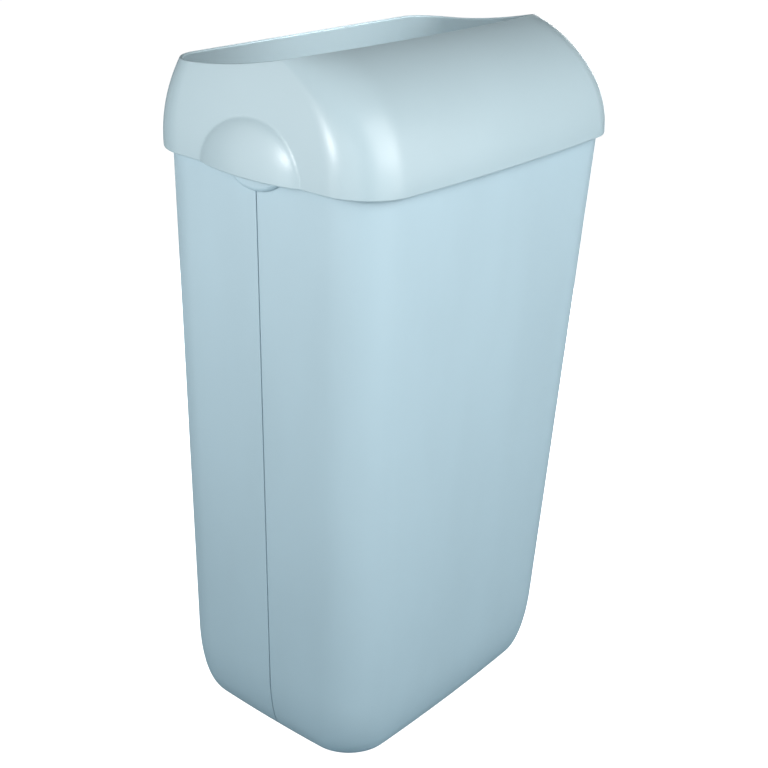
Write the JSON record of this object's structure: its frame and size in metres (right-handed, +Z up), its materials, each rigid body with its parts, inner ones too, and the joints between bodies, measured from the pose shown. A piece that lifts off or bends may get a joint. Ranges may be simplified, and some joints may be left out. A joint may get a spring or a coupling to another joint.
{
  "type": "dog waste bin",
  "caption": "Tapered two-shell waste bin with a slip-on half hood, an open throat and a tilting bag ring, for a floor or a wall.",
  "frame": {"origin": "on the floor, under the centre of the whole bin's outline", "axes": "+Z up, -Y towards the front face, +X to the right seen from the front"},
  "size_m": [0.3476, 0.234, 0.5925],
  "materials": {
    "body_plastic": "satin, fine texture",
    "hood_plastic": "semi-gloss, smooth",
    "ring_plastic": "satin",
    "bush_plastic": "natural acetal, smooth",
    "strip_plastic": "extruded, satin",
    "steel": "zinc plated",
    "rubber": "matte moulded rubber"
  },
  "bodies": {
    "body": {"rear_shell": "body_plastic", "front_shell": "body_plastic", "pivot_bush_left": "bush_plastic", "pivot_bush_right": "bush_plastic", "seam_clip_left": "body_plastic", "seam_clip_right": "body_plastic", "joining_strip_left": "strip_plastic", "joining_strip_right": "strip_plastic", "strip_screws": "steel", "base_clips": "steel", "foot_front_left": "rubber", "foot_front_right": "rubber", "foot_rear_left": "rubber", "foot_rear_right": "rubber", "wall_spacer_upper_left": "rubber", "wall_spacer_upper_right": "rubber", "wall_spacer_lower_left": "rubber", "wall_spacer_lower_right": "rubber"},
    "hood": {"lid": "hood_plastic"},
    "ring": {"bag_ring": "ring_plastic", "pivot_pin_left": "steel", "pivot_pin_right": "steel"}
  },
  "joints": [
    {"name": "lid_lift", "type": "slide", "parent": "body", "child": "hood", "axis": [0, 0, 1], "range_m": [0, 0.15]},
    {"name": "ring_tilt", "type": "hinge", "parent": "body", "child": "ring", "pos_m": [0, -0.00337, 0.509], "axis": [-1, 0, 0], "range_deg": [0, 88]}
  ]
}
